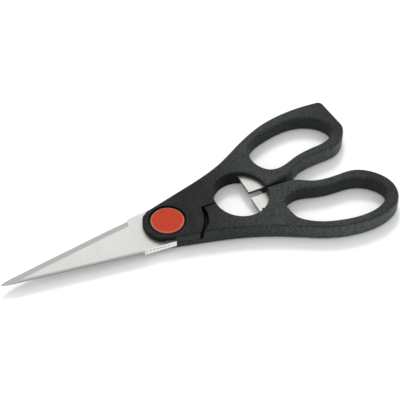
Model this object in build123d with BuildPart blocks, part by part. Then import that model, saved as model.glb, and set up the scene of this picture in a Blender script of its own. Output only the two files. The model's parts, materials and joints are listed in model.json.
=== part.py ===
from build123d import *
import os
from math import cos, radians, sin, sqrt

# Kitchen shears, shut and lying flat, in millimetres.
# +X runs from the pivot to the finger rings and +Z is up. The origin is on the
# pivot axis, in the plane that the shears rest on.

os.makedirs("parts", exist_ok=True)

# Overall sizes
handle_thickness = 9.2
blade_thickness = 1.7
blade_reach = 90.3

# Clearances
blade_gap = 0.1
lap_gap = 0.3
parting_gap = 1.0
swing_clearance = 0.25
pin_clearance = 0.05
cap_clearance = 0.05

# Blade, from the heel to the tip
heel_reach = 17.5
heel_half_width = 11.4
bevel_width = 4.7
bevel_end_angle = 15
# Along the blade from the heel, then out from the centre line
edge_shares = (
    (0.11, 0.91),
    (0.27, 0.775),
    (0.44, 0.61),
    (0.6, 0.465),
    (0.77, 0.3),
    (0.87, 0.205),
    (0.95, 0.125),
    (0.987, 0.05),
)
spine_shares = (
    (0.11, 0.885),
    (0.27, 0.74),
    (0.44, 0.575),
    (0.6, 0.43),
    (0.77, 0.265),
    (0.87, 0.18),
    (0.95, 0.11),
    (0.987, 0.045),
)
tip_share = 0.01

# Heel of the blade, with its row of teeth
shoulder_reach = 0.75
shoulder_half_width = 12.85
tooth_depth = 0.7
tooth_height = 1.15
tooth_pitch = 1.9
tooth_count = 7

# Tang, buried in the handle, and the opener plate at its end
hub_radius = 10.6
tang_cover = 1.7
tang_side_cover = 3.2
tang_tail = 3.6
sill_height = 1.2
plate_inset = 5.2
plate_setback = 1.3
plate_corner_cover = 2.2
window_cover = 1.5
shoulder_share = 0.7
notch_radius = 0.8
notch_inset = 7.6
notch_offset = 11.0
slot_radius = 18.8
slot_width = 2.4
slot_start_angle = 14
slot_sweep_angle = 25

# Opener hole between the handles
opener_reach = 42.1
opener_half_length = 14.3
opener_half_width = 15.3
opener_round = 1.0

# Nose of each handle, round the pivot
nose_radius = 12.8
flank_angle = 14.6
flank_offset = 12.05
near_flank_offset = 11.4
flank_length = 19.1
nose_round = 3.0
nose_edge_round = 0.6
# How far the softly rounded body stays inside the crisp end of the nose
nose_inset = 0.3

# Crescent between the nose and the other handle
nose_front = (11.2, -15.5)
nose_middle = (16.7, -8.2)
nose_back = 19.1
hollow_front = (13.2, 15.4)
hollow_middle = (19.2, 9.5)
hollow_back = (20.6, 0.9)

# Handles
neck_wall = 9.9
edge_round = 1.8
wedge_tail = 1.6
thumb_wedge_offset = -0.45
finger_wedge_offset = 1.35

# Spread of the rings' centres, and how much of it the thumb ring has
ring_spread = 47.7
thumb_share = 0.48

# Thumb ring, set off from the opener hole by a bridge
thumb_length = 49.0
thumb_width = 28.4
thumb_bridge = 2.4
thumb_reach = opener_reach + opener_half_length + thumb_bridge + thumb_length / 2
thumb_offset = ring_spread * thumb_share
thumb_wall = 6.2
thumb_corner_round = 3.2
thumb_opening_shares = (
    (-0.5, -0.01),
    (-0.475, -0.3),
    (-0.38, -0.475),
    (-0.26, -0.49),
    (-0.06, -0.38),
    (0.18, -0.31),
    (0.39, -0.24),
    (0.495, -0.05),
    (0.47, 0.18),
    (0.36, 0.375),
    (0.16, 0.495),
    (-0.07, 0.47),
    (-0.28, 0.375),
    (-0.435, 0.22),
)
thumb_far_shares = ((-0.44, 0.248), (-0.287, 0.363), (-0.075, 0.475), (0.166, 0.525), (0.36, 0.52))
thumb_corner_share = (0.487, 0.502)
thumb_near_shares = ((0.513, 0.015), (0.477, -0.15), (0.362, -0.321), (0.134, -0.368), (-0.065, -0.417))
thumb_web_share = (-0.217, -0.53)
# Directions of the outline at the heel of the ring, at its end and at the web
thumb_way_shares = ((1, -0.09029), (0.05316, -1), (-1, -0.60196))

# Finger ring, set off in the same way
finger_length = 52.0
finger_width = 29.2
finger_bridge = 3.2
finger_reach = opener_reach + opener_half_length + finger_bridge + finger_length / 2
finger_offset = ring_spread * (1 - thumb_share)
finger_wall = 5.7
finger_opening_shares = (
    (-0.492, -0.18),
    (-0.454, -0.41),
    (-0.33, -0.49),
    (-0.112, -0.4),
    (0.098, -0.346),
    (0.287, -0.305),
    (0.448, -0.103),
    (0.5, 0.144),
    (0.413, 0.37),
    (0.181, 0.497),
    (-0.108, 0.428),
    (-0.358, 0.233),
    (-0.469, 0.027),
)
finger_far_shares = ((-0.42, 0.219), (-0.203, 0.394), (0.006, 0.485), (0.248, 0.488), (0.45, 0.328))
finger_near_shares = ((0.508, 0.079), (0.435, -0.204), (0.29, -0.367), (0.114, -0.389), (-0.057, -0.424))
finger_web_share = (-0.222, -0.56)
finger_way_share = (-1, -0.78079)

# Pivot
shank_radius = 2.8
screw_head_radius = 5.2
screw_head_height = 0.9
screw_slot_width = 1.2
screw_slot_depth = 0.5
washer_radius = 5.0
washer_thickness = 0.35
washer_rise = 0.15
nut_across_flats = 8.0
nut_height = 1.3
thread_clearance = 0.02

# Caps
cap_radius = 8.65
cap_wall = 1.3
cap_skirt = 1.2
cap_chamfer = 0.5
cap_groove = 0.9
cap_groove_depth = 1.1

# Heights worked out from the sizes above
lap_height = handle_thickness / 2
blade_floor = lap_height + blade_gap / 2
blade_top = blade_floor + blade_thickness
plate_reach = opener_reach + plate_inset
tang_reach = opener_reach + opener_half_length + tang_tail
wedge_reach = opener_reach + opener_half_length + wedge_tail
swing_reach = nose_back + swing_clearance
flip_axis = Axis((0, 0, lap_height), (1, 0, 0))
on_floor = (Align.CENTER, Align.CENTER, Align.MIN)


def scaled(shares, centre, length, width):
    """Points given as shares of a box, about the box's centre."""
    return [(centre[0] + share[0] * length, centre[1] + share[1] * width) for share in shares]


def flank_point(offset, along):
    """A point on a nose flank, measured from where the flank passes the pivot."""
    angle = radians(flank_angle)
    return (along * cos(angle) - offset * sin(angle), along * sin(angle) + offset * cos(angle))


def opener_cutter():
    """The oval hole, flared at both faces."""
    with BuildPart() as plate:
        with Locations((opener_reach, 0)):
            Box(4 * opener_half_length, 4 * opener_half_width, handle_thickness, align=on_floor)
        with BuildSketch():
            with Locations((opener_reach, 0)):
                Ellipse(opener_half_length, opener_half_width)
        extrude(amount=handle_thickness, mode=Mode.SUBTRACT)
        fillet(plate.edges().filter_by(GeomType.ELLIPSE), radius=opener_round)
    with BuildPart() as cutter:
        with Locations((opener_reach, 0)):
            Box(4 * opener_half_length, 4 * opener_half_width, handle_thickness, align=on_floor)
        add(plate.part, mode=Mode.SUBTRACT)
    return cutter.part


def pivot_side(front, middle, back):
    """The region on the pivot's side of an arc, wider than the handles."""
    side = 2 * opener_half_width
    with BuildSketch(mode=Mode.PRIVATE) as region:
        with BuildLine():
            ThreePointArc(front, middle, back)
            Polyline(back, (back[0], -side), (-side, -side), (-side, side), (front[0], side), front)
        make_face()
    return region.sketch


def drawn_in(point):
    """A point moved towards the pivot, onto the circle that the noses swing inside."""
    share = swing_reach / sqrt(point[0] ** 2 + point[1] ** 2)
    return (share * point[0], share * point[1])


def nose_blank():
    """The end of the nose, from the shoulder round to the far flank, with a crisper rim."""
    far_offset = flank_offset - edge_round
    far_end = flank_point(far_offset, -2 * nose_radius)
    near_side_end = flank_point(near_flank_offset, -2 * nose_radius)
    with BuildPart() as blank:
        with BuildSketch():
            Circle(nose_radius)
            Polygon(
                (-shoulder_reach, nose_width(far_offset, -shoulder_reach)),
                far_end,
                (near_side_end[0], -near_side_end[1]),
                (-shoulder_reach, -nose_width(near_flank_offset, -shoulder_reach)),
                align=None,
                mode=Mode.INTERSECT,
            )
        extrude(amount=handle_thickness)
        fillet(blank.edges().filter_by(GeomType.CIRCLE), radius=nose_edge_round)
    return blank.part


def moulding(outline_face, blade):
    """A handle with its nose on top: rounded blank, opener hole, crescent, lap and pockets."""
    with BuildPart() as body:
        add(outline_face)
        extrude(amount=handle_thickness)
        rims = body.edges().group_by(Axis.Z)
        fillet(rims[0] + rims[-1], radius=edge_round)
        add(nose_blank())
        add(opener_cutter(), mode=Mode.SUBTRACT)

        # The crescent and the parting line, through the whole thickness
        side = 2 * opener_half_width
        with BuildSketch():
            with BuildLine():
                back = (nose_back, parting_gap / 2)
                ThreePointArc(nose_front, nose_middle, back)
                Polyline(
                    back, (opener_reach, parting_gap / 2), (opener_reach, -side),
                    (nose_front[0], -side), nose_front,
                )
            make_face()
        extrude(amount=handle_thickness, mode=Mode.SUBTRACT)

        # The lap: the other handle's nose has the lower half, and a sill covers the tang
        with BuildSketch():
            add(pivot_side(hollow_front, hollow_middle, hollow_back))
        extrude(amount=blade_floor - sill_height, mode=Mode.SUBTRACT)
        with BuildSketch():
            add(pivot_side(drawn_in(hollow_front), drawn_in(hollow_middle), drawn_in(hollow_back)))
        extrude(amount=lap_height + lap_gap / 2, mode=Mode.SUBTRACT)

        # The nose stands back from the teeth, as far as the shoulder
        with BuildSketch():
            Polygon(
                (-shoulder_reach, -nose_width(near_flank_offset, -shoulder_reach)),
                (-shoulder_reach, -side),
                (-nose_radius, -side),
                (-nose_radius, -nose_width(near_flank_offset, -nose_radius)),
                align=None,
            )
        extrude(amount=handle_thickness, mode=Mode.SUBTRACT)

        # The seat of the cap, and the pocket of the tang
        with BuildSketch(Plane.XY.offset(blade_top)):
            Circle(cap_radius + cap_clearance)
        extrude(amount=handle_thickness, mode=Mode.SUBTRACT)
        with BuildSketch(Plane.XY.offset(handle_thickness - cap_groove_depth)):
            Circle(cap_radius + cap_groove)
        extrude(amount=handle_thickness, mode=Mode.SUBTRACT)
        add(blade, mode=Mode.SUBTRACT)
        with BuildSketch(Plane.XY.offset(lap_height)):
            Circle(cap_radius + cap_clearance)
        extrude(amount=blade_top - lap_height, mode=Mode.SUBTRACT)
    return body.part


def nose_width(offset, along):
    """How far out a nose flank is, at a distance along the shears."""
    angle = radians(flank_angle)
    return (offset + along * sin(angle)) / cos(angle)


def cutting_edge():
    """The cutting edge, from the heel past the tip."""
    length = blade_reach - heel_reach
    points = [(-heel_reach - along * length, share * heel_half_width) for along, share in edge_shares]
    return [(-heel_reach, heel_half_width), *points, (-blade_reach, tip_share * heel_half_width)]


def spine_edge():
    """The spine, from the tip to the heel."""
    length = blade_reach - heel_reach
    points = [(-heel_reach - along * length, -share * heel_half_width) for along, share in spine_shares]
    return [(-blade_reach, -tip_share * heel_half_width), *reversed(points), (-heel_reach, -heel_half_width)]


# Upper blade with its tang
with BuildPart() as thumb_blade:
    with BuildSketch(Plane.XY.offset(blade_floor)) as blade_outline:
        with BuildLine():
            edge_line = Spline(*cutting_edge())
            Line(edge_line @ 1, spine_edge()[0])
            Spline(*spine_edge())
            Line(spine_edge()[-1], (-heel_reach, heel_half_width))
        make_face()
    extrude(amount=blade_thickness)
    with BuildLine(Plane.XY.offset(blade_floor)):
        ground_edge = Spline(*cutting_edge())
    bevel_turn = radians(bevel_end_angle)
    bevel_out = (sin(bevel_turn), cos(bevel_turn))
    bevel_back = (cos(bevel_turn), -sin(bevel_turn))
    with BuildSketch(Plane(origin=ground_edge @ 0, x_dir=bevel_out, z_dir=bevel_back)):
        Polygon(
            (0, 0), (-bevel_width, blade_thickness), (-bevel_width, 2 * blade_thickness),
            (bevel_width, 2 * blade_thickness), (bevel_width, 0), align=None,
        )
    sweep(path=ground_edge, mode=Mode.SUBTRACT)

    # The heel and the tang, to the end of the opener plate
    with BuildSketch(Plane.XY.offset(blade_floor)) as tang:
        Polygon(
            (-heel_reach, heel_half_width), (-shoulder_reach, shoulder_half_width),
            (-shoulder_reach, -shoulder_half_width), (-heel_reach, -heel_half_width), align=None,
        )
        Circle(hub_radius)
        Polygon(
            flank_point(flank_offset - tang_cover, 0),
            flank_point(flank_offset - tang_cover, flank_length),
            (opener_reach, opener_half_width + neck_wall - tang_side_cover),
            (
                opener_reach + opener_half_length * shoulder_share,
                opener_half_width + neck_wall - tang_side_cover / 2,
            ),
            (tang_reach, opener_half_width / 2),
            (tang_reach, plate_setback + plate_corner_cover),
            (opener_reach + opener_half_length, plate_setback),
            (0, plate_setback),
            align=None,
        )
        with BuildSketch(mode=Mode.PRIVATE) as window:
            with Locations((opener_reach, 0)):
                Ellipse(opener_half_length + window_cover, opener_half_width + window_cover)
            with Locations((plate_reach, 0)):
                Rectangle(
                    opener_half_length * 2, opener_half_width * 3,
                    align=(Align.MIN, Align.CENTER), mode=Mode.SUBTRACT,
                )
        add(window.sketch, mode=Mode.SUBTRACT)
        Circle(shank_radius + pin_clearance, mode=Mode.SUBTRACT)

        # A slot that keys the plastic to the tang, where the other nose swings
        with BuildLine(mode=Mode.PRIVATE) as slot_path:
            CenterArc((0, 0), slot_radius, slot_start_angle, slot_sweep_angle)
        SlotArc(slot_path.wire(), slot_width, mode=Mode.SUBTRACT)
    extrude(amount=blade_thickness)

    # Teeth pressed into the inner edge of the heel
    heel_rise = (shoulder_half_width - heel_half_width) / (heel_reach - shoulder_reach)
    steps = [(tooth + 0.5) * tooth_pitch for tooth in range(tooth_count)]
    with BuildSketch(Plane.XY.offset(blade_floor)) as teeth:
        with Locations([(step - heel_reach, -heel_half_width - step * heel_rise) for step in steps]):
            RegularPolygon(tooth_depth, 3, rotation=90)
    extrude(amount=tooth_height, mode=Mode.SUBTRACT)

# Lower blade: the same stamping, turned over, with a notch in its opener plate
with BuildPart() as finger_blade:
    add(thumb_blade.part.rotate(flip_axis, 180))
    with Locations((opener_reach + notch_inset, -notch_offset)):
        Cylinder(notch_radius, 2 * handle_thickness, mode=Mode.SUBTRACT)

# Points that both handles share
far_corner = flank_point(flank_offset, -sqrt(nose_radius**2 - flank_offset**2))
near_corner = (far_corner[0], -far_corner[1])
flank_end = flank_point(flank_offset, flank_length)
near_end = (flank_end[0], -flank_end[1])
flank_way = (cos(radians(flank_angle)), sin(radians(flank_angle)))
neck = (opener_reach, opener_half_width + neck_wall)
inside_corner = (opener_reach, -opener_half_width / 2)

# Thumb handle, with a squared heel on its ring
with BuildPart() as thumb_handle:
    with BuildSketch(mode=Mode.PRIVATE) as thumb_outline:
        thumb_centre = (thumb_reach, thumb_offset)
        thumb_box = (thumb_length + 2 * thumb_wall, thumb_width + 2 * thumb_wall)
        far_side = scaled(thumb_far_shares, thumb_centre, *thumb_box)
        near_side = scaled([*thumb_near_shares, thumb_web_share], thumb_centre, *thumb_box)
        heel_way, end_way, web_way = scaled(thumb_way_shares, (0, 0), *thumb_box)
        corner = scaled([thumb_corner_share], thumb_centre, *thumb_box)[0]
        with BuildLine():
            Line(far_corner, flank_end)
            Spline(flank_end, neck, *far_side, tangents=[flank_way, heel_way])
            Polyline(far_side[-1], corner, near_side[0])
            Spline(*near_side, tangents=[end_way, web_way])
            Polyline(near_side[-1], (wedge_reach, thumb_wedge_offset), (opener_reach, parting_gap / 2))
            Polyline((opener_reach, parting_gap / 2), inside_corner, near_end, near_corner)
            ThreePointArc(near_corner, (nose_inset - nose_radius, 0), far_corner)
        make_face()
        fillet(thumb_outline.vertices().sort_by_distance(corner)[0], radius=thumb_corner_round)
        fillet(thumb_outline.vertices().sort_by_distance(far_corner)[0], radius=nose_round)
        with BuildLine():
            Spline(*scaled(thumb_opening_shares, thumb_centre, thumb_length, thumb_width), periodic=True)
        make_face(mode=Mode.SUBTRACT)
    add(moulding(thumb_outline.face(), thumb_blade.part))

# Finger handle, drawn the other way up and turned over
with BuildPart() as finger_handle:
    with BuildSketch(mode=Mode.PRIVATE) as finger_outline:
        finger_centre = (finger_reach, finger_offset)
        finger_box = (finger_length + 2 * finger_wall, finger_width + 2 * finger_wall)
        finger_shares = [*finger_far_shares, *finger_near_shares, finger_web_share]
        ring = scaled(finger_shares, finger_centre, *finger_box)
        web_way = scaled([finger_way_share], (0, 0), *finger_box)[0]
        with BuildLine():
            Line(far_corner, flank_end)
            Spline(flank_end, neck, *ring, tangents=[flank_way, web_way])
            Polyline(ring[-1], (wedge_reach, finger_wedge_offset), (opener_reach, parting_gap / 2))
            Polyline((opener_reach, parting_gap / 2), inside_corner, near_end, near_corner)
            ThreePointArc(near_corner, (nose_inset - nose_radius, 0), far_corner)
        make_face()
        fillet(finger_outline.vertices().sort_by_distance(far_corner)[0], radius=nose_round)
        with BuildLine():
            Spline(*scaled(finger_opening_shares, finger_centre, finger_length, finger_width), periodic=True)
        make_face(mode=Mode.SUBTRACT)
    add(moulding(finger_outline.face(), thumb_blade.part).rotate(flip_axis, 180))

# Spring washer, coned, between the screw's head and the upper blade
with BuildPart() as spring_washer:
    with BuildSketch(Plane.XZ):
        Polygon(
            (shank_radius + pin_clearance, blade_top + washer_rise), (washer_radius, blade_top),
            (washer_radius, blade_top + washer_thickness),
            (shank_radius + pin_clearance, blade_top + washer_rise + washer_thickness), align=None,
        )
    revolve(axis=Axis.Z)

# Pivot screw with a slotted head
with BuildPart() as pivot_screw:
    head_floor = blade_top + washer_rise + washer_thickness
    nut_top = handle_thickness - blade_top
    shank_end = nut_top - nut_height
    with BuildSketch(Plane.XY.offset(shank_end)):
        Circle(shank_radius)
    extrude(amount=head_floor - shank_end)
    with BuildSketch(Plane.XY.offset(head_floor)):
        Circle(screw_head_radius)
    extrude(amount=screw_head_height)
    chamfer(pivot_screw.edges().group_by(Axis.Z)[-1], length=screw_head_height / 3)
    with BuildSketch(Plane.XY.offset(head_floor + screw_head_height - screw_slot_depth)):
        Rectangle(3 * screw_head_radius, screw_slot_width)
    extrude(amount=screw_head_height, mode=Mode.SUBTRACT)

# Nut under the lower blade
with BuildPart() as pivot_nut:
    with BuildSketch(Plane.XY.offset(nut_top)):
        RegularPolygon(nut_across_flats / 2, 6, major_radius=False)
        Circle(shank_radius + thread_clearance, mode=Mode.SUBTRACT)
    extrude(amount=-nut_height)

# Cap in the thumb handle, hollow over the screw's head
with BuildPart() as front_cap:
    with BuildSketch(Plane.XY.offset(blade_top)):
        Circle(cap_radius)
    extrude(amount=handle_thickness - blade_top)
    chamfer(front_cap.edges().group_by(Axis.Z)[-1], length=cap_chamfer)
    with BuildSketch(Plane.XY.offset(blade_top)):
        Circle(cap_radius - cap_skirt)
    extrude(amount=handle_thickness - blade_top - cap_wall, mode=Mode.SUBTRACT)

# The same cap on the underside
with BuildPart() as back_cap:
    add(front_cap.part.rotate(flip_axis, 180))

thumb_blade.part.label = "thumb_blade"
export_step(thumb_blade.part, "parts/thumb_blade.step")
finger_blade.part.label = "finger_blade"
export_step(finger_blade.part, "parts/finger_blade.step")
thumb_handle.part.label = "thumb_handle"
export_step(thumb_handle.part, "parts/thumb_handle.step")
finger_handle.part.label = "finger_handle"
export_step(finger_handle.part, "parts/finger_handle.step")
spring_washer.part.label = "spring_washer"
export_step(spring_washer.part, "parts/spring_washer.step")
pivot_screw.part.label = "pivot_screw"
export_step(pivot_screw.part, "parts/pivot_screw.step")
pivot_nut.part.label = "pivot_nut"
export_step(pivot_nut.part, "parts/pivot_nut.step")
front_cap.part.label = "front_cap"
export_step(front_cap.part, "parts/front_cap.step")
back_cap.part.label = "back_cap"
export_step(back_cap.part, "parts/back_cap.step")
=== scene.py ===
"""Kitchen shears lying shut on a pale table: finishes, table, light and camera.

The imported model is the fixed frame. Its axes are the shears' own: +X runs from the pivot to the
rings, +Y towards the thumb ring and +Z up, with the origin on the pivot axis at the table.
Every length here is in metres, and every colour is linear.
"""

from __future__ import annotations

import json
import logging
from dataclasses import dataclass
from enum import Enum
from typing import Any, Union

import bpy
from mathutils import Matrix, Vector

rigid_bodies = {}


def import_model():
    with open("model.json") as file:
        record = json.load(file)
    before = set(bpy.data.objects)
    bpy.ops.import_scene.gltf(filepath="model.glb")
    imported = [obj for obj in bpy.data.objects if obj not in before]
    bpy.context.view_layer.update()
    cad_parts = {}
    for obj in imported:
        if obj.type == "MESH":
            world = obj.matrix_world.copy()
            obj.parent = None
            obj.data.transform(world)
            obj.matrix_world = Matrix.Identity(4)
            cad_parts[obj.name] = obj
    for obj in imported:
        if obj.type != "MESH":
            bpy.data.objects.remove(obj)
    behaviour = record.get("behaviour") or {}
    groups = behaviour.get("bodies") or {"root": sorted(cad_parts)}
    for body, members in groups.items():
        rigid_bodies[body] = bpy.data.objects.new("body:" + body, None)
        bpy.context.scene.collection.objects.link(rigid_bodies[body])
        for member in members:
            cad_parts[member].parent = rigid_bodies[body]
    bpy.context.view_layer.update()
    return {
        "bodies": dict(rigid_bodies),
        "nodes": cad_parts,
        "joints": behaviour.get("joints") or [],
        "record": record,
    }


LOG = logging.getLogger("shears")
NOISE_MEAN = 0.5  # what a noise pattern is on average
Triple = tuple[float, float, float]
Span = tuple[float, float]
Term = Union["Signal", int, float]
Tint = Union["Signal", Triple]
EVEN: Triple = (1.0, 1.0, 1.0)
LEVEL: Triple = (1.0, 1.0, 0.0)
WHITE: Triple = (1.0, 1.0, 1.0)


class Sum(Enum):
    """What a Math node works out."""

    ADD = "ADD"
    SUBTRACT = "SUBTRACT"
    MULTIPLY = "MULTIPLY"
    GREATER = "GREATER_THAN"
    SIZE = "ABSOLUTE"


class VectorSum(Enum):
    """What a Vector Math node works out."""

    SUBTRACT = "SUBTRACT"
    MULTIPLY = "MULTIPLY"
    SCALE = "SCALE"
    DOT = "DOT_PRODUCT"
    LENGTH = "LENGTH"


class Piece(Enum):
    """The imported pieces, by their names in the model."""

    THUMB_BLADE = "thumb_blade"
    FINGER_BLADE = "finger_blade"
    THUMB_HANDLE = "thumb_handle"
    FINGER_HANDLE = "finger_handle"
    FRONT_CAP = "front_cap"
    BACK_CAP = "back_cap"
    PIVOT_SCREW = "pivot_screw"
    PIVOT_NUT = "pivot_nut"
    SPRING_WASHER = "spring_washer"


class Signal:
    """A value on a node's output that takes part in Python sums."""

    def __init__(self, finish: Finish, socket: bpy.types.NodeSocket) -> None:
        """Wraps an output socket of one of a finish's nodes."""
        self.finish = finish
        self.socket = socket

    def _sum(self, operation: Sum, first: Term, second: Term) -> Signal:
        """Adds a Math node for two terms and returns its value."""
        settings = {"operation": operation.value}
        return self.finish.node("ShaderNodeMath", settings, {0: first, 1: second})[0]

    def __add__(self, other: Term) -> Signal:
        """Returns self + other."""
        return self._sum(Sum.ADD, self, other)

    def __radd__(self, other: Term) -> Signal:
        """Returns other + self."""
        return self._sum(Sum.ADD, other, self)

    def __sub__(self, other: Term) -> Signal:
        """Returns self - other."""
        return self._sum(Sum.SUBTRACT, self, other)

    def __rsub__(self, other: Term) -> Signal:
        """Returns other - self."""
        return self._sum(Sum.SUBTRACT, other, self)

    def __mul__(self, other: Term) -> Signal:
        """Returns self * other."""
        return self._sum(Sum.MULTIPLY, self, other)

    def __rmul__(self, other: Term) -> Signal:
        """Returns other * self."""
        return self._sum(Sum.MULTIPLY, other, self)

    def __gt__(self, other: Term) -> Signal:
        """Returns 1 where self is greater than other, else 0."""
        return self._sum(Sum.GREATER, self, other)

    def size(self) -> Signal:
        """Returns the value with its sign dropped."""
        return self._sum(Sum.SIZE, self, 0.0)

    def between(self, low: float, high: float) -> Signal:
        """Ramps smoothly from 0 at one value to 1 at another.

        Args:
            low: The value that gives 0. It may be the larger one.
            high: The value that gives 1.

        Returns:
            The ramp, held at 0 and 1 outside the two values.
        """
        sockets = {"Value": self, "From Min": low, "From Max": high, "To Min": 0.0, "To Max": 1.0}
        settings = {"interpolation_type": "SMOOTHSTEP"}
        return self.finish.node("ShaderNodeMapRange", settings, sockets)[0]


class Outputs:
    """The outputs of one node, by name or number."""

    def __init__(self, finish: Finish, source: bpy.types.Node) -> None:
        """Wraps one of a finish's nodes."""
        self.finish = finish
        self.source = source

    def __getitem__(self, key: Union[int, str]) -> Signal:
        """Returns one output as a signal."""
        return Signal(self.finish, self.source.outputs[key])


class Finish:
    """One material and the nodes that make it."""

    def __init__(self, name: str) -> None:
        """Starts an empty material.

        Args:
            name: The material's name.
        """
        self.material = bpy.data.materials.new(name)
        self.material.use_nodes = True
        self.nodes = self.material.node_tree.nodes
        self.links = self.material.node_tree.links
        self.nodes.clear()

    def node(
        self,
        kind: str,
        settings: dict[str, Any] | None = None,
        sockets: dict[Union[int, str], Any] | None = None,
    ) -> Outputs:
        """Adds any node.

        Args:
            kind: The node's type.
            settings: Properties, which are set first.
            sockets: Input names or numbers, each with a signal, a number or a colour.

        Returns:
            The node's outputs.
        """
        made = self.nodes.new(kind)
        for key, value in (settings or {}).items():
            setattr(made, key, value)
        for key, value in (sockets or {}).items():
            if isinstance(value, Signal):
                self.links.new(value.socket, made.inputs[key])
            else:
                made.inputs[key].default_value = self._fit(made.inputs[key], value)
        return Outputs(self, made)

    @staticmethod
    def _fit(socket: bpy.types.NodeSocket, value: Any) -> Any:
        """Gives a colour its alpha where a socket needs one.

        Args:
            socket: The socket to fill.
            value: A number, a vector or a colour.

        Returns:
            The value in the socket's form.
        """
        if socket.type == "RGBA" and len(value) == 3:
            return (*value, 1.0)
        return value

    def mix(self, share: Term, first: Tint, second: Tint) -> Signal:
        """Returns the first colour with a share, from 0 to 1, of the second mixed in."""
        sockets = {0: share, 6: first, 7: second}  # 6, 7 and output 2 are the node's colours
        return self.node("ShaderNodeMix", {"data_type": "RGBA"}, sockets)[2]

    def vector(self, operation: VectorSum, sockets: dict[Union[int, str], Any]) -> Outputs:
        """Adds a Vector Math node, whose output 0 is a vector and 1 a number."""
        return self.node("ShaderNodeVectorMath", {"operation": operation.value}, sockets)

    def scale(self, colour: Tint, share: Term) -> Signal:
        """Returns a colour that is multiplied by a number, to make it darker or lighter."""
        return self.vector(VectorSum.SCALE, {0: colour, "Scale": share})[0]

    def split(self, vector: Signal) -> Outputs:
        """Returns a vector's X, Y and Z as outputs 0, 1 and 2."""
        return self.node("ShaderNodeSeparateXYZ", None, {0: vector})

    def normal(self) -> Signal:
        """Returns the surface's direction in the model's axes, with no bump."""
        return self.node("ShaderNodeTexCoord")["Normal"]

    def place(self, stretch: Triple = EVEN) -> Signal:
        """Returns the surface's place in the model's axes, each multiplied by its stretch."""
        spot = self.node("ShaderNodeTexCoord")["Object"]
        return self.vector(VectorSum.MULTIPLY, {0: spot, 1: stretch})[0]

    def reach(self) -> Signal:
        """Returns the distance from the pivot axis."""
        return self.vector(VectorSum.LENGTH, {0: self.place(LEVEL)})[1]

    def tilt(self) -> Signal:
        """Returns 0 on level faces, 1 on upright walls and what is between on rounded edges."""
        up = self.split(self.normal())[2]
        return 1 - up * up

    def noise(self, size: float, detail: float = 2.0, stretch: Triple = EVEN) -> Signal:
        """Returns cloudy noise of a feature size, drawn out along axes that stretch by under 1."""
        sockets = {"Vector": self.place(stretch), "Scale": 1.0 / size, "Detail": detail}
        return self.node("ShaderNodeTexNoise", None, sockets)[0]

    def relief(self, height: Signal, depth: float) -> Signal:
        """Returns a normal that is bumped by a height, where 1 is as high as the depth."""
        return self.node("ShaderNodeBump", None, {"Height": height, "Distance": depth})[0]

    def close(self, sockets: dict[str, Any]) -> bpy.types.Material:
        """Ends the material with one main shader.

        Args:
            sockets: The shader's inputs.

        Returns:
            The finished material.
        """
        shader = self.node("ShaderNodeBsdfPrincipled", None, sockets)
        self.node("ShaderNodeOutputMaterial", None, {"Surface": shader[0]})
        return self.material


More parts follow.
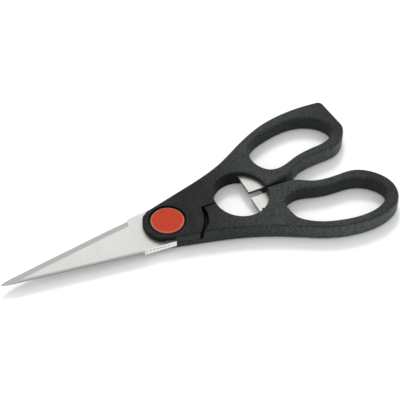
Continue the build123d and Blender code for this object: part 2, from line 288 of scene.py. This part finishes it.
@dataclass(frozen=True)
class MouldedPlastic:
    """Matt moulded plastic with a fine spark-eroded grain, painted light on outer walls and painted
    shade inside.
    """

    name: str
    # The finish itself
    roughness: float = 0.55
    roughness_swing: float = 0.12
    refraction: float = 1.45
    gloss: float = 0.17
    grain_size: float = 0.0010
    grain_detail: float = 3.0
    grain_depth: float = 0.00012
    speckle: float = 2.72
    # Top faces: dark round the pivot, and paler from the opener hole to the rings
    neck_colour: Triple = (0.0110, 0.0115, 0.0112)
    ring_colour: Triple = (0.0355, 0.0415, 0.0395)
    handled_span: Span = (0.022, 0.062)
    finger_side: Span = (0.001, -0.006)
    finger_lead: float = 0.014
    handled_share: float = 0.8
    end_span: Span = (0.090, 0.112)
    end_loss: float = 0.45
    patch_size: float = 0.009
    patch_span: Span = (0.35, 0.7)
    patch_share: float = 0.2
    # Outer walls, with painted light that grows paler towards the rings, and a painted shade line
    # where the top rounds over into them
    flank_colour: Triple = (0.0250, 0.0295, 0.0275)
    painted_light_wall_colour: Triple = (0.062, 0.072, 0.068)
    painted_light_span: Span = (0.020, 0.100)
    outer_turn: Span = (0.25, 0.55)
    rim_rise: Span = (0.03, 0.25)
    rim_fall: Span = (0.25, 0.5)
    rim_loss: float = 0.3
    web_half_width: float = 0.0028
    # Walls of the three openings: painted shade, near black by the opener hole and dark grey in the
    # rings
    painted_shade_colour: Triple = (0.0030, 0.0035, 0.0033)
    shaded_wall_colour: Triple = (0.0205, 0.0245, 0.0235)
    shaded_span: Span = (0.040, 0.070)
    inner_turn: Span = (0.50, 0.95)
    hole_centre: Triple = (0.0421, 0.0, 0.0)
    thumb_centre: Triple = (0.0833, 0.0229, 0.0)
    finger_centre: Triple = (0.0856, -0.0248, 0.0)
    ring_start: float = 0.060
    # Round the pivot: painted shade in the hollows where the halves lap, and a painted shadow ring
    # round each cap's groove
    lap_reach: float = 0.0212
    lap_half_heights: Span = (0.0036, 0.00324)
    mid_height: float = 0.0046
    flank_slope: float = 0.26
    flank_offset: float = 0.0121
    flank_turn: float = 0.55
    # Painted shadow out to the groove's edge round each cap
    groove_edge: Span = (0.0101, 0.0097)

    def _top(self, finish: Finish, spot: Outputs) -> Signal:
        """Colours the top faces.

        Args:
            finish: The finish to add the nodes to.
            spot: The surface's place, as X, Y and Z.

        Returns:
            The colour.
        """
        lead = spot[1].between(*self.finger_side) * self.finger_lead
        handled = (spot[0] + lead).between(*self.handled_span)
        share = self.handled_share - spot[0].between(*self.end_span) * self.end_loss
        patches = finish.noise(self.patch_size).between(*self.patch_span) * self.patch_share
        return finish.mix(handled * share + patches, self.neck_colour, self.ring_colour)

    @staticmethod
    def _faces(finish: Finish, centre: Triple) -> Signal:
        """Returns 1 on the walls that face an opening's centre, and 0 on those that face away."""
        way = finish.vector(VectorSum.SUBTRACT, {0: centre, 1: finish.place(LEVEL)})[0]
        return finish.vector(VectorSum.DOT, {0: way, 1: finish.normal()})[1] > 0.0

    def _inner(self, finish: Finish, spot: Outputs) -> Signal:
        """Finds the walls that face into an opening.

        Args:
            finish: The finish to add the nodes to.
            spot: The surface's place, as X, Y and Z.

        Returns:
            1 on those walls, else 0.
        """
        thumb_side = spot[1] > 0.0
        in_thumb_ring = thumb_side * self._faces(finish, self.thumb_centre)
        in_finger_ring = (1 - thumb_side) * self._faces(finish, self.finger_centre)
        at_rings = spot[0] > self.ring_start
        in_hole = (1 - at_rings) * self._faces(finish, self.hole_centre)
        return at_rings * (in_thumb_ring + in_finger_ring) + in_hole

    def _lap(self, finish: Finish, spot: Outputs, reach: Signal) -> Signal:
        """Finds the walls round the pivot, where the halves lap and which get painted shade instead
        of painted light.

        Args:
            finish: The finish to add the nodes to.
            spot: The surface's place, as X, Y and Z.
            reach: The distance from the pivot axis.

        Returns:
            1 on those walls, else 0.
        """
        lengthwise = finish.split(finish.normal())[0].size() > self.flank_turn
        flank = (spot[1].size() - spot[0] * self.flank_slope) > self.flank_offset
        return (1 - flank * (1 - lengthwise)) * (1 - (reach > self.lap_reach))

    def build(self) -> bpy.types.Material:
        """Builds the plastic: tones by place, painted light and shade by the way a face turns, and
        grain over all.

        Returns:
            The finished material.
        """
        finish = Finish(self.name)
        spot = finish.split(finish.place())
        reach = finish.reach()
        tilt = finish.tilt()
        lap = self._lap(finish, spot, reach)
        # The web walls between the rings get painted shade, not painted light
        beside_web = spot[1].size() > self.web_half_width
        outer = (1 - self._inner(finish, spot)) * (1 - lap) * beside_web

        along = spot[0]
        # Painted light on the outer walls: paler towards the rings, for the light from the bright
        # table in front
        painted_light_wall = finish.mix(along.between(*self.painted_light_span), self.flank_colour, self.painted_light_wall_colour)
        # Painted shade on the walls of the openings, darkest near the pivot
        shaded = finish.mix(along.between(*self.shaded_span), self.painted_shade_colour, self.shaded_wall_colour)
        # Painted shade: a darker line on the rounding between the top and the outer walls
        painted_rim = (tilt.between(*self.rim_rise) - tilt.between(*self.rim_fall)) * outer
        below = (spot[2] - self.mid_height).size().between(*self.lap_half_heights)

        # Top tone, darkened by the painted shade line at outer rims
        colour = finish.scale(self._top(finish, spot), 1 - painted_rim * self.rim_loss)
        # Painted light goes on the outer walls
        colour = finish.mix(tilt.between(*self.outer_turn) * outer, colour, painted_light_wall)
        # Painted shade goes on walls that face into an opening
        colour = finish.mix(tilt.between(*self.inner_turn) * (1 - outer), colour, shaded)
        # Painted shade in the hollows where the halves lap
        colour = finish.mix(below * lap, colour, self.painted_shade_colour)
        # Painted shadow ring: all plastic inside the groove's edge round each cap is near black
        colour = finish.mix(reach.between(*self.groove_edge), colour, self.painted_shade_colour)

        grain = finish.noise(self.grain_size, self.grain_detail)
        swing = grain - NOISE_MEAN
        return finish.close({
            "Base Color": finish.scale(colour, 1 + swing * self.speckle),
            "Roughness": self.roughness + swing * self.roughness_swing,
            "IOR": self.refraction,
            "Specular IOR Level": self.gloss,
            "Normal": finish.relief(grain, self.grain_depth),
        })


@dataclass(frozen=True)
class GroundSteel:
    """Satin stainless steel with fine grinding lines across the blade."""

    name: str
    # Flat sides
    colour: Triple = (0.645, 0.637, 0.620)
    base_share: float = 0.87
    cloud_size: float = 0.012
    cloud_span: Span = (0.3, 0.7)
    cloud_share: float = 0.05
    line_size: float = 0.0005
    line_detail: float = 3.0
    line_stretch: Triple = (1.0, 0.06, 1.0)
    line_share: float = 0.19
    line_depth: float = 0.000006
    roughness: float = 0.4
    roughness_swing: float = 0.1
    # The opener plates are a little paler
    plate_start: float = 0.002
    plate_share: float = 0.07
    # Ground bevels, told from the rest by how far they lean across the blade
    bevel_colour: Triple = (0.475, 0.475, 0.48)
    bevel_rise: Span = (0.03, 0.09)
    bevel_fall: Span = (0.3, 0.5)
    # Upright edges: painted light on the blade's back, a painted highlight on the heel, and painted
    # shade on the edges behind it
    edge_turn: Span = (0.5, 0.9)
    side_light_colour: Triple = (0.50, 0.50, 0.50)
    heel_start: float = -0.0176
    heel_highlight_colour: Triple = (0.92, 0.92, 0.91)
    plate_wall_shade_colour: Triple = (0.11, 0.10, 0.09)
    edge_dulling: float = 0.75
    # Painted shade where the handles cover the tangs, dark as the gap round the pivot
    tang_shade_colour: Triple = (0.012, 0.012, 0.012)
    covered_rise: Span = (0.006, 0.007)
    covered_fall: Span = (0.026, 0.027)

    def build(self) -> bpy.types.Material:
        """Builds the steel: ground lines over all, a tone of its own for each kind of face, and
        painted light and shade on upright edges.

        Returns:
            The finished material.
        """
        finish = Finish(self.name)
        along = finish.split(finish.place())[0]
        lean = finish.split(finish.normal())[1]
        lean = lean * lean
        lines = finish.noise(self.line_size, self.line_detail, self.line_stretch)
        clouds = finish.noise(self.cloud_size).between(*self.cloud_span) * self.cloud_share
        plates = along > self.plate_start

        share = self.base_share + clouds + lines * self.line_share + plates * self.plate_share
        bevel = lean.between(*self.bevel_rise) - lean.between(*self.bevel_fall)
        colour = finish.mix(bevel, finish.scale(self.colour, share), self.bevel_colour)
        # Painted light on upright edges: a pale back and a near-white highlight on the heel
        edge = finish.tilt().between(*self.edge_turn)
        edge_tone = finish.mix(along > self.heel_start, self.side_light_colour, self.heel_highlight_colour)
        # Painted shade on the upright edges of the tangs and opener plates
        edge_tone = finish.mix(plates, edge_tone, self.plate_wall_shade_colour)
        colour = finish.mix(edge, colour, edge_tone)
        # Painted shade on the tangs under the handles
        covered = along.between(*self.covered_rise) - along.between(*self.covered_fall)
        return finish.close({
            "Base Color": finish.mix(covered, colour, self.tang_shade_colour),
            # Less metal on upright edges lets their painted light and shade show
            "Metallic": 1 - edge * self.edge_dulling,
            "Roughness": self.roughness + (lines - NOISE_MEAN) * self.roughness_swing,
            "Normal": finish.relief(lines, self.line_depth),
        })


@dataclass(frozen=True)
class SmoothCap:
    """Half-gloss red plastic, with a painted highlight at the rim and painted shade down its skirt.
    """

    name: str
    colour: Triple = (0.43, 0.031, 0.004)
    mottle_size: float = 0.002
    mottle_detail: float = 3.0
    mottle: float = 0.5
    rim_highlight_colour: Triple = (0.62, 0.24, 0.19)
    rim_span: Span = (0.0078, 0.0083)
    rim_share: float = 0.7
    skirt_shade_colour: Triple = (0.035, 0.007, 0.004)
    skirt_turn: Span = (0.7, 0.95)
    gloss: float = 0.35
    refraction: float = 1.4
    roughness: float = 0.42
    roughness_swing: float = 0.08
    ripple_size: float = 0.0006
    ripple_depth: float = 0.000012

    def build(self) -> bpy.types.Material:
        """Builds the red plastic.

        Returns:
            The finished material.
        """
        finish = Finish(self.name)
        swing = finish.noise(self.mottle_size, self.mottle_detail) - NOISE_MEAN
        mottled = finish.scale(self.colour, 1 + swing * self.mottle)
        # Painted highlight: a pale ring near the cap's edge
        painted_rim = finish.reach().between(*self.rim_span) * self.rim_share
        # Painted shade down the cap's skirt
        skirt = finish.tilt().between(*self.skirt_turn)
        face = finish.mix(painted_rim, mottled, self.rim_highlight_colour)
        return finish.close({
            "Base Color": finish.mix(skirt, face, self.skirt_shade_colour),
            "Specular IOR Level": self.gloss,
            "Roughness": self.roughness + swing * self.roughness_swing,
            "IOR": self.refraction,
            "Normal": finish.relief(finish.noise(self.ripple_size), self.ripple_depth),
        })


@dataclass(frozen=True)
class TurnedSteel:
    """Plain turned steel for the hidden pivot pieces."""

    name: str
    colour: Triple = (0.56, 0.56, 0.55)
    line_size: float = 0.0008
    line_stretch: Triple = (1.0, 1.0, 0.2)
    line_depth: float = 0.00001
    line_loss: float = 0.2
    roughness: float = 0.3
    roughness_gain: float = 0.15

    def build(self) -> bpy.types.Material:
        """Builds the turned steel.

        Returns:
            The finished material.
        """
        finish = Finish(self.name)
        lines = finish.noise(self.line_size, stretch=self.line_stretch)
        return finish.close({
            "Base Color": finish.scale(self.colour, 1 - lines * self.line_loss),
            "Metallic": 1.0,
            "Roughness": self.roughness + lines * self.roughness_gain,
            "Normal": finish.relief(lines, self.line_depth),
        })


Look = Union[MouldedPlastic, GroundSteel, SmoothCap, TurnedSteel]


@dataclass(frozen=True)
class SubAssembly:
    """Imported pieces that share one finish."""

    pieces: tuple[Piece, ...]
    look: Look

    def build(self, frame: dict[str, Any]) -> None:
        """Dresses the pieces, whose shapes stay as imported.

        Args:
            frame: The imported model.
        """
        material = self.look.build()
        for piece in self.pieces:
            mesh = frame["nodes"][piece.value].data
            mesh.materials.clear()
            mesh.materials.append(material)
            LOG.info("dressed %s in %s", piece.value, material.name)


@dataclass(frozen=True)
class Handles(SubAssembly):
    """The two moulded handles."""

    pieces: tuple[Piece, ...] = (Piece.THUMB_HANDLE, Piece.FINGER_HANDLE)
    look: Look = MouldedPlastic("charcoal_plastic")


@dataclass(frozen=True)
class Blades(SubAssembly):
    """The two blades, each with its tang and its opener plate."""

    pieces: tuple[Piece, ...] = (Piece.THUMB_BLADE, Piece.FINGER_BLADE)
    look: Look = GroundSteel("satin_steel")


@dataclass(frozen=True)
class Caps(SubAssembly):
    """The caps over both ends of the pivot."""

    pieces: tuple[Piece, ...] = (Piece.FRONT_CAP, Piece.BACK_CAP)
    look: Look = SmoothCap("red_cap")


@dataclass(frozen=True)
class Pivot(SubAssembly):
    """The screw that holds the blades together, with its nut and washer."""

    pieces: tuple[Piece, ...] = (Piece.PIVOT_SCREW, Piece.PIVOT_NUT, Piece.SPRING_WASHER)
    look: Look = TurnedSteel("turned_steel")


@dataclass(frozen=True)
class Softbox:
    """One square studio lamp that faces the pivot: its side, its watts and if gloss shows it."""

    name: str
    place: Triple
    side: float
    power: float
    mirrored: bool = True

    def build(self) -> None:
        """Makes the lamp."""
        light = bpy.data.lights.new(self.name, "AREA")
        light.shape = "SQUARE"
        light.size = self.side
        light.energy = self.power
        lamp = bpy.data.objects.new(self.name, light)
        bpy.context.scene.collection.objects.link(lamp)
        lamp.location = self.place
        lamp.visible_glossy = self.mirrored
        lamp.rotation_euler = (-Vector(self.place)).to_track_quat("-Z", "Y").to_euler()


@dataclass(frozen=True)
class Stage:
    """The table and the light of a plain product photograph."""

    table_size: float = 3.0
    # The table is this far under the shears, so that the faces that rest on it don't flicker
    seat_gap: float = 0.00005
    table_colour: Triple = (0.97, 0.97, 0.97)
    # What the table adds where it is seen, so that it reaches white away from the shadow
    lift: float = 0.03
    sky_strength: float = 0.86
    key: Softbox = Softbox("key_softbox", (0.902, 1.878, 2.158), 0.66, 36.0, mirrored=False)
    panel: Softbox = Softbox("back_panel", (1.15, 2.45, 3.0), 3.7, 17.0)

    def _table_material(self) -> bpy.types.Material:
        """Builds a pale material that reaches white where no shadow falls.

        Returns:
            The finished material.
        """
        finish = Finish("table_white")
        path = finish.node("ShaderNodeLightPath")
        seen = path["Is Camera Ray"] + path["Is Glossy Ray"] + path["Is Transmission Ray"]
        paint = finish.node("ShaderNodeBsdfDiffuse", None, {"Color": self.table_colour})
        light = {"Color": WHITE, "Strength": seen * self.lift}
        glow = finish.node("ShaderNodeEmission", None, light)
        both = finish.node("ShaderNodeAddShader", None, {0: paint[0], 1: glow[0]})
        finish.node("ShaderNodeOutputMaterial", None, {"Surface": both[0]})
        return finish.material

    def _table(self) -> None:
        """Makes the table top."""
        half = self.table_size / 2
        mesh = bpy.data.meshes.new("table_top")
        corners = [(-half, -half), (half, -half), (half, half), (-half, half)]
        mesh.from_pydata([(*corner, -self.seat_gap) for corner in corners], [], [(0, 1, 2, 3)])
        mesh.materials.append(self._table_material())
        table = bpy.data.objects.new("table_top", mesh)
        bpy.context.scene.collection.objects.link(table)

    def _sky(self) -> None:
        """Gives the world one even pale light."""
        world = bpy.data.worlds.new("studio_sky")
        bpy.context.scene.world = world
        world.use_nodes = True
        background = world.node_tree.nodes["Background"]
        background.inputs["Color"].default_value = (*WHITE, 1.0)
        background.inputs["Strength"].default_value = self.sky_strength

    def build(self) -> None:
        """Makes the table, the world and the lamps."""
        self._table()
        self._sky()
        self.key.build()
        self.panel.build()
        bpy.context.scene.view_settings.view_transform = "Standard"


@dataclass(frozen=True)
class Viewpoint:
    """The photograph's camera."""

    place: Triple = (-0.1791, -0.4112, 0.5186)
    target: Triple = (0.0245, 0.0126, 0.0)
    focal_pixels: float = 1332.45
    picture_pixels: float = 400.0
    sensor_width: float = 36.0
    clip_end: float = 20.0

    def build(self) -> None:
        """Makes the camera and sets it for the scene."""
        data = bpy.data.cameras.new("photo_camera")
        data.sensor_width = self.sensor_width
        data.lens = self.focal_pixels / self.picture_pixels * self.sensor_width
        data.clip_end = self.clip_end
        camera = bpy.data.objects.new("photo_camera", data)
        bpy.context.scene.collection.objects.link(camera)
        camera.location = self.place
        way = Vector(self.target) - Vector(self.place)
        camera.rotation_euler = way.to_track_quat("-Z", "Y").to_euler()
        bpy.context.scene.camera = camera


def main() -> None:
    """Builds the scene in order."""
    logging.basicConfig(level=logging.INFO, format="%(name)s: %(message)s")
    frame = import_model()
    Viewpoint().build()
    Stage().build()
    for group in (Handles(), Blades(), Caps(), Pivot()):
        group.build(frame)


if __name__ == "__main__":
    main()
